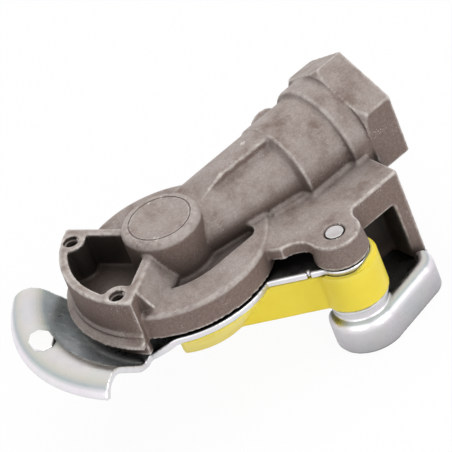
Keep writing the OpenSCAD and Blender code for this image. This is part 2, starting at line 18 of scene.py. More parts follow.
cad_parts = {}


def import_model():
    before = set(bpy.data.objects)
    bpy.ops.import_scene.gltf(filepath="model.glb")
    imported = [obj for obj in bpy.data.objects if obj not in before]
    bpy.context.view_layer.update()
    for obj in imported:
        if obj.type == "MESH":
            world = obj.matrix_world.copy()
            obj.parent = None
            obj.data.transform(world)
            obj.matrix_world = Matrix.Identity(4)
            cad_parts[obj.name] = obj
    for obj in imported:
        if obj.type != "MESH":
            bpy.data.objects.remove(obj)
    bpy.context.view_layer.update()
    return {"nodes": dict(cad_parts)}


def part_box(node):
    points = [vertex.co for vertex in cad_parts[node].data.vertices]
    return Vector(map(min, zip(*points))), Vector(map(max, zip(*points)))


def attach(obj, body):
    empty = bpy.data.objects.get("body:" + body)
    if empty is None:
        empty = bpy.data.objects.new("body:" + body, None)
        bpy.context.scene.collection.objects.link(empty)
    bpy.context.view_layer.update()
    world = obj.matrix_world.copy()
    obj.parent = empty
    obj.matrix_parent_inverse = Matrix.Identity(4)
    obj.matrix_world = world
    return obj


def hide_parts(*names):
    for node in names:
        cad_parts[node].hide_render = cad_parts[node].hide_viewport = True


LOG = logging.getLogger("coupling_head")

MM = 0.001
# Points nearer than this are merged.
WELD = 0.001 * MM
# Least Z share of the normal of a face that looks up or down.
FACING = 0.5
SMOOTHING = 0.5
BEVEL_STEPS = 3
HELIX_STEPS = 40
# Smoothing passes of a pressed or moulded piece, and the angle above which its edges stay sharp.
FORM_PASSES = 3
FORM_SHADE = 50.0
SHELTER_SAMPLES = 8
# Sockets of the colours in a mix node, which also has sockets for numbers and vectors.
MIX_FIRST, MIX_SECOND, MIX_RESULT = 6, 7, 2
WHITE = (1.0, 1.0, 1.0, 1.0)
# Axis of the cover's pin, and middle of the pad on its lip, in millimetres.
HUB = (27.4, -34.9)
PAD = (-39.6, 11.3)

Pair = tuple[float, float]
Triple = tuple[float, float, float]
Colour = Triple
Stop = tuple[float, Colour]
Section = Sequence[Pair]
Box = Sequence[Vector]
Piece = bpy.types.Object
Socket = bpy.types.NodeSocket


class Slot(Enum):
    """Material slots of the part's record."""

    CAST = "cast_aluminium"
    ZINC = "zinc_plate"
    STEEL = "plain_steel"
    PLASTIC = "yellow_plastic"
    RUBBER = "seal_rubber"


class Rider(Enum):
    """Bodies that a piece can move with."""

    HEAD = "head"
    COVER = "cover"


class Along(Enum):
    """Direction in which a turned piece or a cutter lies."""

    X = (0.0, math.pi / 2, 0.0)
    Z = (0.0, 0.0, 0.0)


class Side(Enum):
    """Way that a face looks."""

    UP = 1.0
    DOWN = -1.0


def place_mm(*place: float) -> Any:
    """Make a dataclass field that holds a place.

    Args:
        *place: The place along X, Y and Z, in millimetres.

    Returns:
        The field, whose default is the place in metres.
    """
    return field(default_factory=lambda: Vector(place) * MM)


class Bench:
    """Modelling steps that the pieces share, made with operators."""

    @staticmethod
    def clear() -> None:
        """Go back to object mode and deselect everything."""
        active = bpy.context.view_layer.objects.active
        if active is not None and active.mode != "OBJECT":
            bpy.ops.object.mode_set(mode="OBJECT")
        bpy.ops.object.select_all(action="DESELECT")

    @staticmethod
    def take(piece: Piece) -> None:
        """Make one piece the only selected and the active one.

        Args:
            piece: The piece to work on.
        """
        Bench.clear()
        piece.select_set(True)
        bpy.context.view_layer.objects.active = piece

    @staticmethod
    def edit(piece: Piece) -> None:
        """Open a piece in edit mode with all of it selected.

        Args:
            piece: The piece to work on.
        """
        Bench.take(piece)
        bpy.ops.object.mode_set(mode="EDIT")
        bpy.ops.mesh.select_mode(type="VERT")
        bpy.ops.mesh.select_all(action="SELECT")

    @staticmethod
    def pick_faces(piece: Piece, side: Side) -> None:
        """Open a piece in edit mode with the faces selected that look up or down.

        Args:
            piece: The piece to work on.
            side: Way that the faces look.
        """
        Bench.take(piece)
        mesh = piece.data
        mesh.vertices.foreach_set("select", [False] * len(mesh.vertices))
        mesh.edges.foreach_set("select", [False] * len(mesh.edges))
        for face in mesh.polygons:
            face.select = side.value * face.normal.z > FACING
        bpy.ops.object.mode_set(mode="EDIT")
        bpy.ops.mesh.select_mode(type="FACE")

    @staticmethod
    def settle(piece: Piece) -> None:
        """Apply a piece's place to its mesh, so that its object sits at the origin.

        Args:
            piece: The piece to settle.
        """
        Bench.take(piece)
        bpy.ops.object.transform_apply(location=True, rotation=True, scale=True)

    @staticmethod
    def modify(piece: Piece, kind: str, **settings: Any) -> None:
        """Add a modifier to a piece and apply it.

        Args:
            piece: The piece to change.
            kind: Blender's name of the modifier.
            **settings: Values of the modifier.
        """
        Bench.take(piece)
        modifier = piece.modifiers.new(kind.title(), kind)
        for key, value in settings.items():
            setattr(modifier, key, value)
        bpy.ops.object.modifier_apply(modifier=modifier.name)

    @staticmethod
    def tidy_normals(piece: Piece) -> None:
        """Merge doubles, close holes and turn all faces outwards.

        Args:
            piece: The piece to tidy.
        """
        Bench.edit(piece)
        bpy.ops.mesh.remove_doubles(threshold=WELD)
        bpy.ops.mesh.fill_holes(sides=0)
        bpy.ops.mesh.normals_make_consistent(inside=False)
        bpy.ops.object.mode_set(mode="OBJECT")

    @staticmethod
    def soft_copy(node: Piece, name: str, grain: float, passes: int) -> Piece:
        """Copy a solid of the frame, with its edges rounded as casting or pressing leaves them.

        Args:
            node: The solid's object.
            name: Name of the new piece.
            grain: Size of the new mesh's cells.
            passes: Number of smoothing passes.

        Returns:
            The new piece.
        """
        piece = bpy.data.objects.new(name, node.data.copy())
        bpy.context.scene.collection.objects.link(piece)
        piece.data.materials.clear()
        Bench.edit(piece)
        bpy.ops.mesh.remove_doubles(threshold=WELD)
        Bench.modify(piece, "REMESH", mode="VOXEL", voxel_size=grain, adaptivity=0.0)
        Bench.modify(piece, "SMOOTH", factor=SMOOTHING, iterations=passes)
        return piece

    @staticmethod
    def bar(
        name: str, radius: float, low: float, high: float, sides: int = 72, taper: float = 0.0
    ) -> Piece:
        """Add a round bar along Z.

        Args:
            name: Name of the bar.
            radius: Radius at the lower end.
            low: Height of the lower end.
            high: Height of the upper end.
            sides: Number of sides.
            taper: Growth of the radius from the lower to the upper end.

        Returns:
            The bar, with its place applied.
        """
        Bench.clear()
        bpy.ops.mesh.primitive_cone_add(
            vertices=sides,
            radius1=radius,
            radius2=radius + taper,
            depth=high - low,
            location=(0.0, 0.0, (low + high) / 2),
        )
        piece = bpy.context.object
        piece.name = name
        Bench.settle(piece)
        return piece

    @staticmethod
    def place(piece: Piece, at: Vector, along: Along = Along.Z) -> None:
        """Turn a piece that lies along Z and move it to its place.

        Args:
            piece: The piece to place.
            at: Where its origin goes.
            along: Direction that its Z axis takes.
        """
        piece.rotation_euler = along.value
        piece.location = at
        Bench.settle(piece)

    @staticmethod
    def cut(piece: Piece, cutters: Sequence[Piece]) -> None:
        """Cut pieces out of another one, and remove them.

        Args:
            piece: The piece to cut.
            cutters: The shapes to take away.
        """
        for cutter in cutters:
            Bench.modify(
                piece, "BOOLEAN", operation="DIFFERENCE", solver="MANIFOLD", object=cutter
            )
            bpy.data.objects.remove(cutter, do_unlink=True)

    @staticmethod
    def headed_bar(name: str, radius: float, box: Box, sides: int, head: Section) -> Piece:
        """Add a round bar along Z, with a head at its lower end.

        Args:
            name: Name of the bar.
            radius: Radius of the shank.
            box: Lower and upper corner of the solid that it stands for.
            sides: Number of sides.
            head: Drop and scale of each step down the head.

        Returns:
            The bar.
        """
        shoulder = box[0].z + sum(drop for drop, _ in head)
        piece = Bench.bar(name, radius, shoulder, box[1].z, sides)
        Bench.pick_faces(piece, Side.DOWN)
        for drop, scale in head:
            bpy.ops.mesh.extrude_region_move(TRANSFORM_OT_translate={"value": (0, 0, -drop)})
            bpy.ops.transform.resize(value=(scale, scale, 1.0), center_override=(0, 0, 0))
        bpy.ops.object.mode_set(mode="OBJECT")
        return piece

    @staticmethod
    def outline(name: str, radius: float, section: Section) -> Piece:
        """Draw a closed section in the XZ plane.

        Args:
            name: Name of the piece.
            radius: Radius to which the section's points are added.
            section: Points of the section, outwards and upwards.

        Returns:
            The section, as a loop of edges.
        """
        Bench.clear()
        bpy.ops.mesh.primitive_circle_add(vertices=len(section), radius=MM, fill_type="NOTHING")
        piece = bpy.context.object
        piece.name = name
        for vertex, (out, up) in zip(piece.data.vertices, section):
            vertex.co = (radius + out, 0.0, up)
        return piece

    @staticmethod
    def ring(
        name: str,
        radius: float,
        section: Section,
        steps: int = 96,
        start: float = 0.0,
        sweep: float = 360.0,
    ) -> Piece:
        """Spin a closed section into a ring, or a part of one, round Z.

        Args:
            name: Name of the ring.
            radius: Radius to which the section's points are added.
            section: Points of the section, outwards and upwards.
            steps: Number of steps round the ring.
            start: Angle in degrees at which it starts.
            sweep: Angle in degrees that it covers, counterclockwise.

        Returns:
            The ring, centred on the origin, with closed ends.
        """
        piece = Bench.outline(name, radius, section)
        Bench.edit(piece)
        # The operator turns clockwise for a positive angle.
        bpy.ops.mesh.spin(
            steps=steps, angle=-math.radians(sweep), center=(0, 0, 0), axis=(0, 0, 1)
        )
        Bench.tidy_normals(piece)
        piece.rotation_euler = (0.0, 0.0, math.radians(start))
        Bench.settle(piece)
        return piece

    @staticmethod
    def helix(name: str, section: Section, pitch: float, turns: int) -> Piece:
        """Wind a closed section into a helix round Z.

        Args:
            name: Name of the helix.
            section: Points of the section, by radius and height.
            pitch: Rise of one turn.
            turns: Number of turns.

        Returns:
            The helix, which starts at the origin's height, with closed ends.
        """
        piece = Bench.outline(name, 0.0, section)
        Bench.modify(
            piece,
            "SCREW",
            angle=math.tau,
            screw_offset=pitch,
            iterations=turns,
            steps=HELIX_STEPS,
            render_steps=HELIX_STEPS,
            use_merge_vertices=False,
        )
        Bench.tidy_normals(piece)
        return piece


@dataclass(frozen=True)
class Marks:
    """Noise of a finish.

    Attributes:
        size: Size of a mark, in metres.
        detail: Number of finer layers.
        rough: Strength of the finer layers.
        stretch: Scale of the pattern along each axis.
    """

    size: float
    detail: float = 3.0
    rough: float = 0.55
    stretch: Triple = (1.0, 1.0, 1.0)


@dataclass(frozen=True)
class Span:
    """Range of a value, and the range that it is mapped to.

    Attributes:
        low: Value that gives least.
        high: Value that gives most, which can be the smaller of the two.
        least: Result at low and before it.
        most: Result at high and beyond it.
    """

    low: float
    high: float
    least: float = 0.0
    most: float = 1.0


class Tree:
    """Node tree of a material or of the world."""

    def __init__(self, owner: bpy.types.Material | bpy.types.World) -> None:
        """Open the tree.

        Args:
            owner: What the nodes belong to.
        """
        owner.use_nodes = True
        self.nodes, self.links = owner.node_tree.nodes, owner.node_tree.links

    def put(self, socket: Socket, value: Any) -> None:
        """Give a socket its value, or link its source.

        Args:
            socket: The socket.
            value: The value, or the socket that it comes from.
        """
        if isinstance(value, Socket):
            self.links.new(value, socket)
        else:
            socket.default_value = value

    def fill(self, node: bpy.types.Node, **inputs: Any) -> None:
        """Fill sockets of a node.

        Args:
            node: The node.
            **inputs: Value or source of each socket, with spaces in its name written as _.
        """
        for key, value in inputs.items():
            self.put(node.inputs[key.replace("_", " ")], value)

    def add(self, kind: str, **inputs: Any) -> bpy.types.Node:
        """Add a node.

        Args:
            kind: Kind of the node.
            **inputs: Value or source of its sockets, as in fill.

        Returns:
            The node.
        """
        node = self.nodes.new(f"ShaderNode{kind}")
        self.fill(node, **inputs)
        return node

    def combine(self, kind: str, operation: str, first: Any, second: Any) -> Socket:
        """Combine two values into a number.

        Args:
            kind: Kind of the node, Math or VectorMath.
            operation: What it does.
            first: One value or its source.
            second: The other value or its source.

        Returns:
            The number.
        """
        node = self.add(kind)
        node.operation = operation
        for socket, value in zip(node.inputs, (first, second)):
            self.put(socket, value)
        return node.outputs["Value"]


class Graph(Tree):
    """Node tree of one finish."""

    def __init__(self, name: str) -> None:
        """Start a material with its shader and its place coordinates.

        Args:
            name: Name of the material.
        """
        self.material = bpy.data.materials.new(name)
        super().__init__(self.material)
        place = self.add("TexCoord")
        self.coords = place.outputs["Object"]
        self.upward, self.height = (
            self.add("SeparateXYZ", Vector=place.outputs[name]).outputs["Z"]
            for name in ("Normal", "Object")
        )
        self.edge = self.add("NewGeometry").outputs["Pointiness"]

    def feed(self, **inputs: Any) -> None:
        """Fill sockets of the shader.

        Args:
            **inputs: Value or source of its sockets, as in fill.
        """
        self.fill(self.nodes["Principled BSDF"], **inputs)

    def noise(self, marks: Marks) -> Socket:
        """Noise with marks of about a given size.

        Args:
            marks: Size and kind of the marks.

        Returns:
            The noise's value.
        """
        mapping = self.add("Mapping", Vector=self.coords, Scale=marks.stretch)
        node = self.add("TexNoise", Vector=mapping.outputs["Vector"], Scale=1.0 / marks.size)
        self.fill(node, Detail=marks.detail, Roughness=marks.rough)
        return node.outputs["Fac"]

    def shelter(self, reach: float, span: Span) -> Socket:
        """Share of painted shade in places that other surfaces shelter.

        Args:
            reach: Distance within which a surface shelters, in metres.
            span: Free share of the surroundings where the painted shade starts, and where it is
                full.

        Returns:
            The share.
        """
        node = self.add("AmbientOcclusion", Distance=reach)
        node.samples = SHELTER_SAMPLES
        return self.level(node.outputs["AO"], span)

    def near(self, place: Triple, span: Span) -> Socket:
        """Share of a spot round a place.

        Args:
            place: Middle of the spot, in millimetres.
            span: Distance in metres at which the spot starts, and at which it is full.

        Returns:
            The share.
        """
        middle = Vector(place) * MM
        return self.level(self.combine("VectorMath", "DISTANCE", self.coords, middle), span)

    def level(self, source: Socket, span: Span) -> Socket:
        """Map a range of a value to another one, clamped.

        Args:
            source: The value.
            span: Both ranges.

        Returns:
            The mapped value.
        """
        node = self.add("MapRange", Value=source, From_Min=span.low, From_Max=span.high)
        self.fill(node, To_Min=span.least, To_Max=span.most)
        return node.outputs["Result"]

    def times(self, first: Socket, second: Socket) -> Socket:
        """Multiply two values.

        Args:
            first: One value.
            second: The other value.

        Returns:
            The product.
        """
        return self.combine("Math", "MULTIPLY", first, second)

    def ramp(self, source: Socket, stops: Sequence[Stop]) -> Socket:
        """Turn a value into a colour.

        Args:
            source: The value.
            stops: Places and colours along the ramp.

        Returns:
            The colour.
        """
        node = self.add("ValToRGB", Fac=source)
        elements = node.color_ramp.elements
        while len(elements) < len(stops):
            elements.new(0.5)
        for element, (place, colour) in zip(elements, stops):
            element.position = place
            element.color = (*colour, 1.0)
        return node.outputs["Color"]

    def mix(self, share: Socket, first: Socket | Colour, second: Socket | Colour) -> Socket:
        """Mix two colours.

        Args:
            share: Share of the second colour.
            first: One colour.
            second: The other colour.

        Returns:
            The mixed colour.
        """
        node = self.add("Mix", Factor=share)
        node.data_type = "RGBA"
        for index, value in ((MIX_FIRST, first), (MIX_SECOND, second)):
            self.put(node.inputs[index], (*value, 1.0) if isinstance(value, tuple) else value)
        return node.outputs[MIX_RESULT]

    def relief(self, *layers: tuple[Socket, float, float]) -> None:
        """Add small relief, one layer over the other.

        Args:
            *layers: Height, strength and depth in metres of each layer.
        """
        below: dict[str, Socket] = {}
        for height, strength, depth in layers:
            node = self.add("Bump", Height=height, Strength=strength, Distance=depth, **below)
            below = {"Normal": node.outputs["Normal"]}
        self.feed(**below)


@dataclass(frozen=True)
class Skin(ABC):
    """Shared base of the finishes. A relief is a strength and a depth in metres."""

    slot: Slot

    def material(self) -> bpy.types.Material:
        """Build the finish.

        Returns:
            The material.
        """
        graph = Graph(self.slot.value)
        self.paint(graph)
        return graph.material

    @abstractmethod
    def paint(self, graph: Graph) -> None:
        """Lay the finish.

        Args:
            graph: Node tree to fill.
        """


@dataclass(frozen=True)
class CastSkin(Skin):
    """Warm grey skin of a die casting, with painted shade on its sides, in its creases and
    recesses, and edges lightened partly by rubbed wear and partly by a painted highlight.
    """

    slot: Slot = Slot.CAST
    # Painted shade: black for the walls round the listed hollows.
    hollow_shade_black: Colour = (0.018, 0.015, 0.013)
    # Painted shade for deep recesses.
    recess_shade: Colour = (0.052, 0.038, 0.032)
    # Painted shade for creases.
    crease_shade: Colour = (0.095, 0.066, 0.055)
    # Painted shade: darker browns for surfaces that face sideways, mixed by noise.
    side_shade_brown: Colour = (0.160, 0.110, 0.095)
    side_shade_tan: Colour = (0.232, 0.172, 0.152)
    # Edge colour: partly rubbed wear, partly a painted highlight.
    worn_and_highlit: Colour = (0.640, 0.585, 0.550)
    fleck: Colour = (0.600, 0.560, 0.530)
    greys: tuple[Stop, ...] = (
        (0.33, (0.190, 0.138, 0.118)),
        (0.49, (0.326, 0.271, 0.248)),
        (0.64, (0.388, 0.337, 0.314)),
    )
    grit: tuple[Stop, ...] = (
        (0.36, (0.180, 0.138, 0.122)),
        (0.50, (0.335, 0.280, 0.257)),
        (0.64, (0.520, 0.460, 0.430)),
    )
    cloud: Marks = Marks(8 * MM, 5.0, 0.62)
    grain: Marks = Marks(0.5 * MM, 2.0, 0.6)
    sand: Marks = Marks(0.7 * MM, 4.0, 0.75)
    rub: Marks = Marks(2.0 * MM)
    speck: Marks = Marks(0.3 * MM, 1.0)
    patch: Marks = Marks(6 * MM, 2.0)
    pit_size: float = 0.8 * MM
    grit_share: Span = Span(0.3, 0.7, 0.12, 0.34)
    tan_share: Span = Span(0.36, 0.64)
    # Upward normal over which the painted side shade gives way to the top colours.
    facing_shade_share: Span = Span(0.06, 0.32)
    edge_share: Span = Span(0.510, 0.545)
    rub_share: Span = Span(0.36, 0.60, 0.35, 1.0)
    speck_share: Span = Span(0.63, 0.72)
    patch_share: Span = Span(0.54, 0.66)
    # Reach and span of the painted crease shade.
    crease_reach: float = 4 * MM
    crease_share: Span = Span(0.88, 0.35, 0.0, 0.85)
    # Reach and span of the painted shade in deep recesses.
    recess_shade_reach: float = 22 * MM
    recess_shade_share: Span = Span(0.79, 0.40)
    # Middles of the hollows whose walls get painted black shade, in millimetres.
    hollows: tuple[Triple, ...] = ((-14.5, 14.5, 11.0), (-20.0, -0.7, 8.0), (45.0, -27.0, -10.0))
    hollow_share: Span = Span(9.5 * MM, 7.0 * MM)
    hollow_recess_share: Span = Span(0.10, 0.35)
    hollow_walls: Span = Span(0.6, 0.3, 0.0, 0.9)
    gloss: Span = Span(0.3, 0.75, 0.62, 0.46)
    metallic: float = 0.08
    specular: float = 0.30
    cloud_relief: Pair = (0.25, 0.35 * MM)
    pit_relief: Pair = (0.25, 0.12 * MM)
    grain_relief: Pair = (0.50, 0.10 * MM)

    def paint(self, graph: Graph) -> None:
        """Lay the finish.

        Args:
            graph: Node tree to fill.
        """
        cloud, grain, sand, rub, speck, patch = map(
            graph.noise, (self.cloud, self.grain, self.sand, self.rub, self.speck, self.patch)
        )
        greys, grit = graph.ramp(cloud, self.greys), graph.ramp(sand, self.grit)
        tops = graph.mix(graph.level(cloud, self.grit_share), greys, grit)
        # Painted shade: sideways surfaces get darker browns than the tops.
        sides = graph.mix(graph.level(sand, self.tan_share), self.side_shade_brown, self.side_shade_tan)
        colour = graph.mix(graph.level(graph.upward, self.facing_shade_share), sides, tops)
        # Convex edges lightened, partly rubbed wear and partly a painted highlight.
        edge = graph.level(graph.edge, self.edge_share)
        rubbed = graph.times(edge, graph.level(rub, self.rub_share))
        colour = graph.mix(rubbed, colour, self.worn_and_highlit)
        flecked = graph.times(
            graph.level(speck, self.speck_share), graph.level(patch, self.patch_share)
        )
        colour = graph.mix(flecked, colour, self.fleck)
        # Painted shade in creases, from the occlusion within a short reach.
        creased = graph.shelter(self.crease_reach, self.crease_share)
        colour = graph.mix(creased, colour, self.crease_shade)
        # Painted shade in deep recesses, from the occlusion within a long reach.
        deep = graph.shelter(self.recess_shade_reach, self.recess_shade_share)
        colour = graph.mix(deep, colour, self.recess_shade)
        # Painted shade: black on the walls round each listed hollow, where the recess shade is
        # deep.
        walls = graph.times(
            graph.level(deep, self.hollow_recess_share), graph.level(graph.upward, self.hollow_walls)
        )
        for place in self.hollows:
            spot = graph.times(graph.near(place, self.hollow_share), walls)
            colour = graph.mix(spot, colour, self.hollow_shade_black)
        graph.feed(Base_Color=colour, Roughness=graph.level(grain, self.gloss))
        graph.feed(Metallic=self.metallic, Specular_IOR_Level=self.specular)
        cells = graph.add("TexVoronoi", Vector=graph.coords, Scale=1.0 / self.pit_size)
        graph.relief(
            (cloud, *self.cloud_relief),
            (cells.outputs["Distance"], *self.pit_relief),
            (grain, *self.grain_relief),
        )


@dataclass(frozen=True)
class ZincSkin(Skin):
    """Bright zinc plating, with passivation hues and painted reflection in bands by which way it
    faces, painted shade in sheltered places and a painted highlight on the lip's flat pad.
    """

    slot: Slot = Slot.ZINC
    bright: Colour = (0.78, 0.78, 0.79)
    dull: Colour = (0.56, 0.57, 0.58)
    # Painted shade and dark reflection for sheltered places.
    shelter_shade: Colour = (0.045, 0.047, 0.048)
    # Painted highlight for the flat pad.
    pad_highlight: Colour = (0.97, 0.97, 0.96)
    # Colours by which way a surface faces: passivation hues, and painted reflection that is dark
    # on the lip's inner slope.
    facing_tint_and_reflection: tuple[Stop, ...] = (
        (0.00, (0.78, 0.75, 0.80)),
        (0.60, (0.90, 0.85, 0.91)),
        (0.76, (0.32, 0.40, 0.41)),
        (0.90, (0.60, 0.58, 0.50)),
        (1.00, (0.70, 0.67, 0.66)),
    )
    tints: tuple[Stop, ...] = (
        (0.34, (0.56, 0.68, 0.64)),
        (0.46, (0.72, 0.71, 0.62)),
        (0.56, (0.74, 0.64, 0.71)),
        (0.68, (0.62, 0.65, 0.74)),
    )
    film: Marks = Marks(14 * MM, 2.0, 0.5)
    veil: Marks = Marks(8 * MM)
    stain: Marks = Marks(3 * MM, 4.0, 0.6)
    wave: Marks = Marks(6 * MM, 1.0)
    scratch: Marks = Marks(1.2 * MM, 2.0, 0.5, (0.25, 1.0, 1.0))
    dull_share: Span = Span(0.4, 0.7, 0.0, 0.7)
    veil_share: Span = Span(0.35, 0.7, 0.3, 0.7)
    # Share of the facing colours, with their painted reflection, mixed in by noise.
    facing_tint_share: Span = Span(0.3, 0.7, 0.75, 0.55)
    edge_share: Span = Span(0.51, 0.55)
    rub_share: Span = Span(0.38, 0.60, 0.2, 1.0)
    # Reach and span of the painted shade and dark reflection in sheltered places.
    shelter_shade_reach: float = 24 * MM
    shelter_shade_share: Span = Span(0.82, 0.22)
    # Place and spread of the painted highlight on the pad.
    pad: Triple = (*PAD, 2.5)
    pad_share: Span = Span(7.0 * MM, 6.0 * MM)
    pad_rise: Span = Span(2.3 * MM, 2.4 * MM)
    gloss: Span = Span(0.3, 0.7, 0.24, 0.42)
    metallic: float = 1.0
    wave_relief: Pair = (0.25, 0.25 * MM)
    scratch_relief: Pair = (0.12, 0.04 * MM)

    def paint(self, graph: Graph) -> None:
        """Lay the finish.

        Args:
            graph: Node tree to fill.
        """
        film, veil, stain, wave, scratch = map(
            graph.noise, (self.film, self.veil, self.stain, self.wave, self.scratch)
        )
        colour = graph.mix(graph.level(stain, self.dull_share), self.bright, self.dull)
        # The second ramp paints passivation hues and reflection by which way a surface faces.
        tints, facing_tint_and_reflection = graph.ramp(film, self.tints), graph.ramp(graph.upward, self.facing_tint_and_reflection)
        colour = graph.mix(graph.level(veil, self.veil_share), colour, tints)
        colour = graph.mix(graph.level(stain, self.facing_tint_share), colour, facing_tint_and_reflection)
        edge = graph.level(graph.edge, self.edge_share)
        rubbed = graph.times(edge, graph.level(stain, self.rub_share))
        colour = graph.mix(rubbed, colour, self.bright)
        # Painted shade and dark reflection where other surfaces shelter.
        colour = graph.mix(graph.shelter(self.shelter_shade_reach, self.shelter_shade_share), colour, self.shelter_shade)
        # Painted highlight on the lip's flat pad.
        spot = graph.times(
            graph.near(self.pad, self.pad_share), graph.level(graph.height, self.pad_rise)
        )
        colour = graph.mix(spot, colour, self.pad_highlight)
        graph.feed(Base_Color=colour, Roughness=graph.level(stain, self.gloss))
        graph.feed(Metallic=self.metallic)
        graph.relief((wave, *self.wave_relief), (scratch, *self.scratch_relief))


@dataclass(frozen=True)
class PlainSkin(Skin):
    """Plain stuff with stains or dust on it."""

    clean: Colour
    stained: Colour
    stain: Marks
    stain_share: Span
    gloss: Span
    grain: Marks
    metallic: float = 0.0
    grain_relief: Pair = (0.2, 0.05 * MM)

    def paint(self, graph: Graph) -> None:
        """Lay the finish.

        Args:
            graph: Node tree to fill.
        """
        stain = graph.noise(self.stain)
        colour = graph.mix(graph.level(stain, self.stain_share), self.clean, self.stained)
        graph.feed(Base_Color=colour, Roughness=graph.level(stain, self.gloss))
        graph.feed(Metallic=self.metallic)
        graph.relief((graph.noise(self.grain), *self.grain_relief))


@dataclass(frozen=True)
class PlasticSkin(Skin):
    """Yellow moulded plastic with a fine satin texture."""

    slot: Slot = Slot.PLASTIC
    plain: Colour = (0.900, 0.735, 0.062)
    deep: Colour = (0.840, 0.660, 0.045)
    rubbed: Colour = (0.930, 0.820, 0.200)
    flow: Marks = Marks(14 * MM)
    grain: Marks = Marks(0.35 * MM, 1.0)
    deep_share: Span = Span(0.4, 0.7)
    edge_share: Span = Span(0.53, 0.60)
    gloss: Span = Span(0.3, 0.7, 0.36, 0.48)
    specular: float = 0.35
    glow: float = 0.08
    glow_depth: float = 1.5 * MM
    flow_relief: Pair = (0.10, 0.2 * MM)
    grain_relief: Pair = (0.12, 0.03 * MM)

    def paint(self, graph: Graph) -> None:
        """Lay the finish.

        Args:
            graph: Node tree to fill.
        """
        flow, grain = graph.noise(self.flow), graph.noise(self.grain)
        base = graph.mix(graph.level(flow, self.deep_share), self.plain, self.deep)
        colour = graph.mix(graph.level(graph.edge, self.edge_share), base, self.rubbed)
        graph.feed(Base_Color=colour, Roughness=graph.level(flow, self.gloss))
        graph.feed(Subsurface_Weight=self.glow, Subsurface_Scale=self.glow_depth)
        graph.feed(Specular_IOR_Level=self.specular)
        graph.relief((flow, *self.flow_relief), (grain, *self.grain_relief))


STEEL = PlainSkin(
    slot=Slot.STEEL,
    clean=(0.52, 0.53, 0.54),
    stained=(0.26, 0.26, 0.27),
    stain=Marks(1.5 * MM, 4.0, 0.6),
    stain_share=Span(0.4, 0.65),
    gloss=Span(0.3, 0.7, 0.30, 0.50),
    grain=Marks(0.5 * MM),
    metallic=1.0,
)
RUBBER = PlainSkin(
    slot=Slot.RUBBER,
    clean=(0.018, 0.018, 0.019),
    stained=(0.060, 0.058, 0.055),
    stain=Marks(2.5 * MM, 4.0),
    stain_share=Span(0.45, 0.75),
    gloss=Span(0.3, 0.7, 0.55, 0.75),
    grain=Marks(0.4 * MM),
)


@dataclass
class Assembly(ABC):
    """Shared base of the sub-assemblies: the frame's solids and the finishes."""

    nodes: dict[str, Piece]
    finishes: dict[Slot, bpy.types.Material]

    @abstractmethod
    def build(self) -> None:
        """Build the pieces of the sub-assembly."""

    def fit(
        self,
        piece: Piece,
        rider: Rider,
        slot: Slot,
        stands_for: str | None = None,
        shade: float = 35.0,
    ) -> None:
        """Shade and dress a piece, let it ride on its body and report it.

        Args:
            piece: The finished piece.
            rider: Body that it moves with.
            slot: Slot of its finish.
            stands_for: Solid that it replaces, if any.
            shade: Angle in degrees above which an edge stays sharp.
        """
        Bench.take(piece)
        bpy.ops.object.shade_smooth_by_angle(angle=math.radians(shade))
        piece.data.materials.clear()
        piece.data.materials.append(self.finishes[slot])
        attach(piece, rider.value)
        if stands_for is not None:
            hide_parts(stands_for)
        LOG.info("%s: %d faces, rides on %s", piece.name, len(piece.data.polygons), rider.value)

    def form(self, node: str, name: str, grain: float, rider: Rider, slot: Slot) -> None:
        """Soften a copy of a solid, and fit it in the solid's place.

        Args:
            node: Name of the solid.
            name: Name of the piece.
            grain: Size of the new mesh's cells.
            rider: Body that the piece moves with.
            slot: Slot of its finish.
        """
        piece = Bench.soft_copy(self.nodes[node], name, grain, FORM_PASSES)
        self.fit(piece, rider, slot, node, FORM_SHADE)


